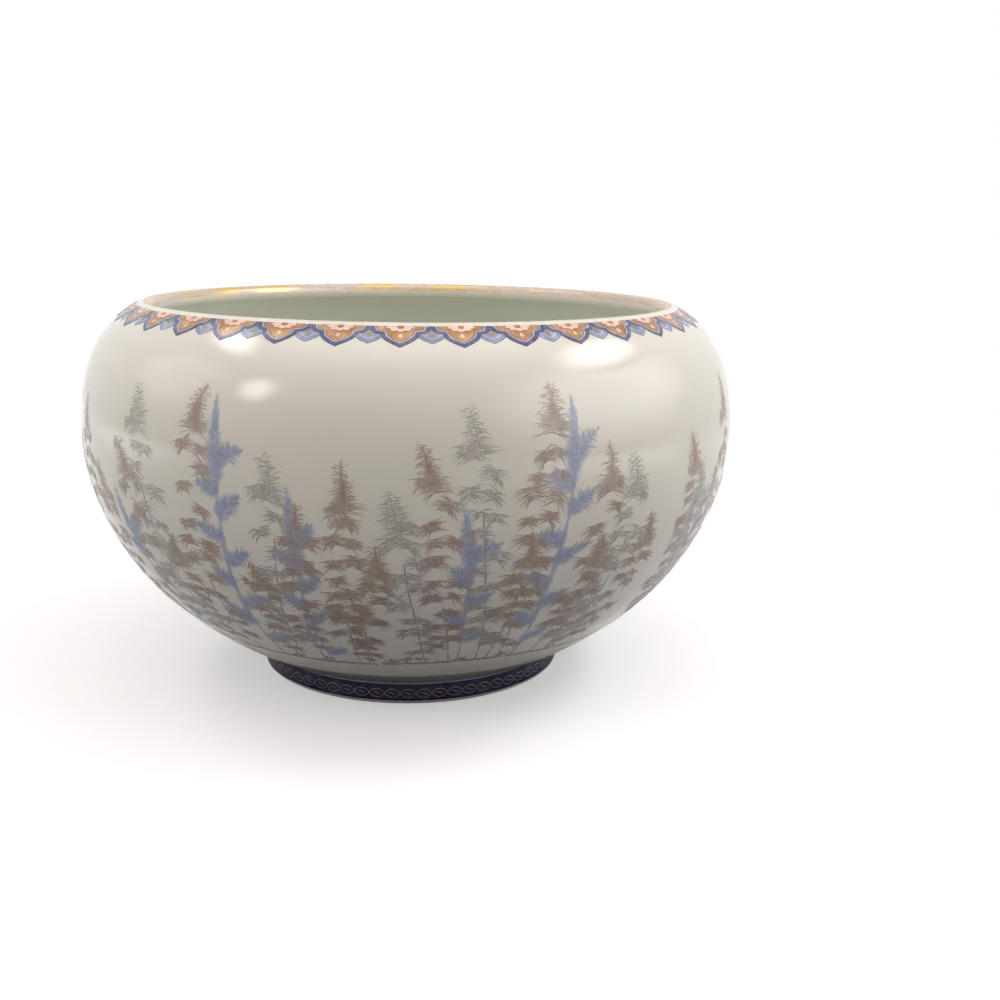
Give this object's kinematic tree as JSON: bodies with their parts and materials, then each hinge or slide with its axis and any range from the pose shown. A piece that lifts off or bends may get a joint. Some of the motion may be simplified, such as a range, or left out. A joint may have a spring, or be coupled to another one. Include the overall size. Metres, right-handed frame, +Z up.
{
  "type": "porcelain fish bowl",
  "caption": "Wide round porcelain bowl with an in-curved shoulder, a thick gilt lip, a border of enamel lappets and a low foot ring.",
  "frame": {"origin": "middle of the flat foot that the bowl stands on", "axes": "+Z up along the bowl's axis; the decorated front faces -Y"},
  "size_m": [0.2458, 0.246, 0.1423],
  "materials": {
    "glaze": "glossy ivory-white glaze",
    "foot": "cobalt-blue band under glaze over an unglazed pale foot",
    "gilding": "thin fired gilding, worn",
    "enamel": "orange, blue and pink enamels, glossy"
  },
  "bodies": {
    "root": {"foot_ring": "foot", "lower_bowl": "glaze", "shoulder": "glaze", "lip_gilding": "gilding", "lappet_border": "enamel"}
  },
  "joints": []
}
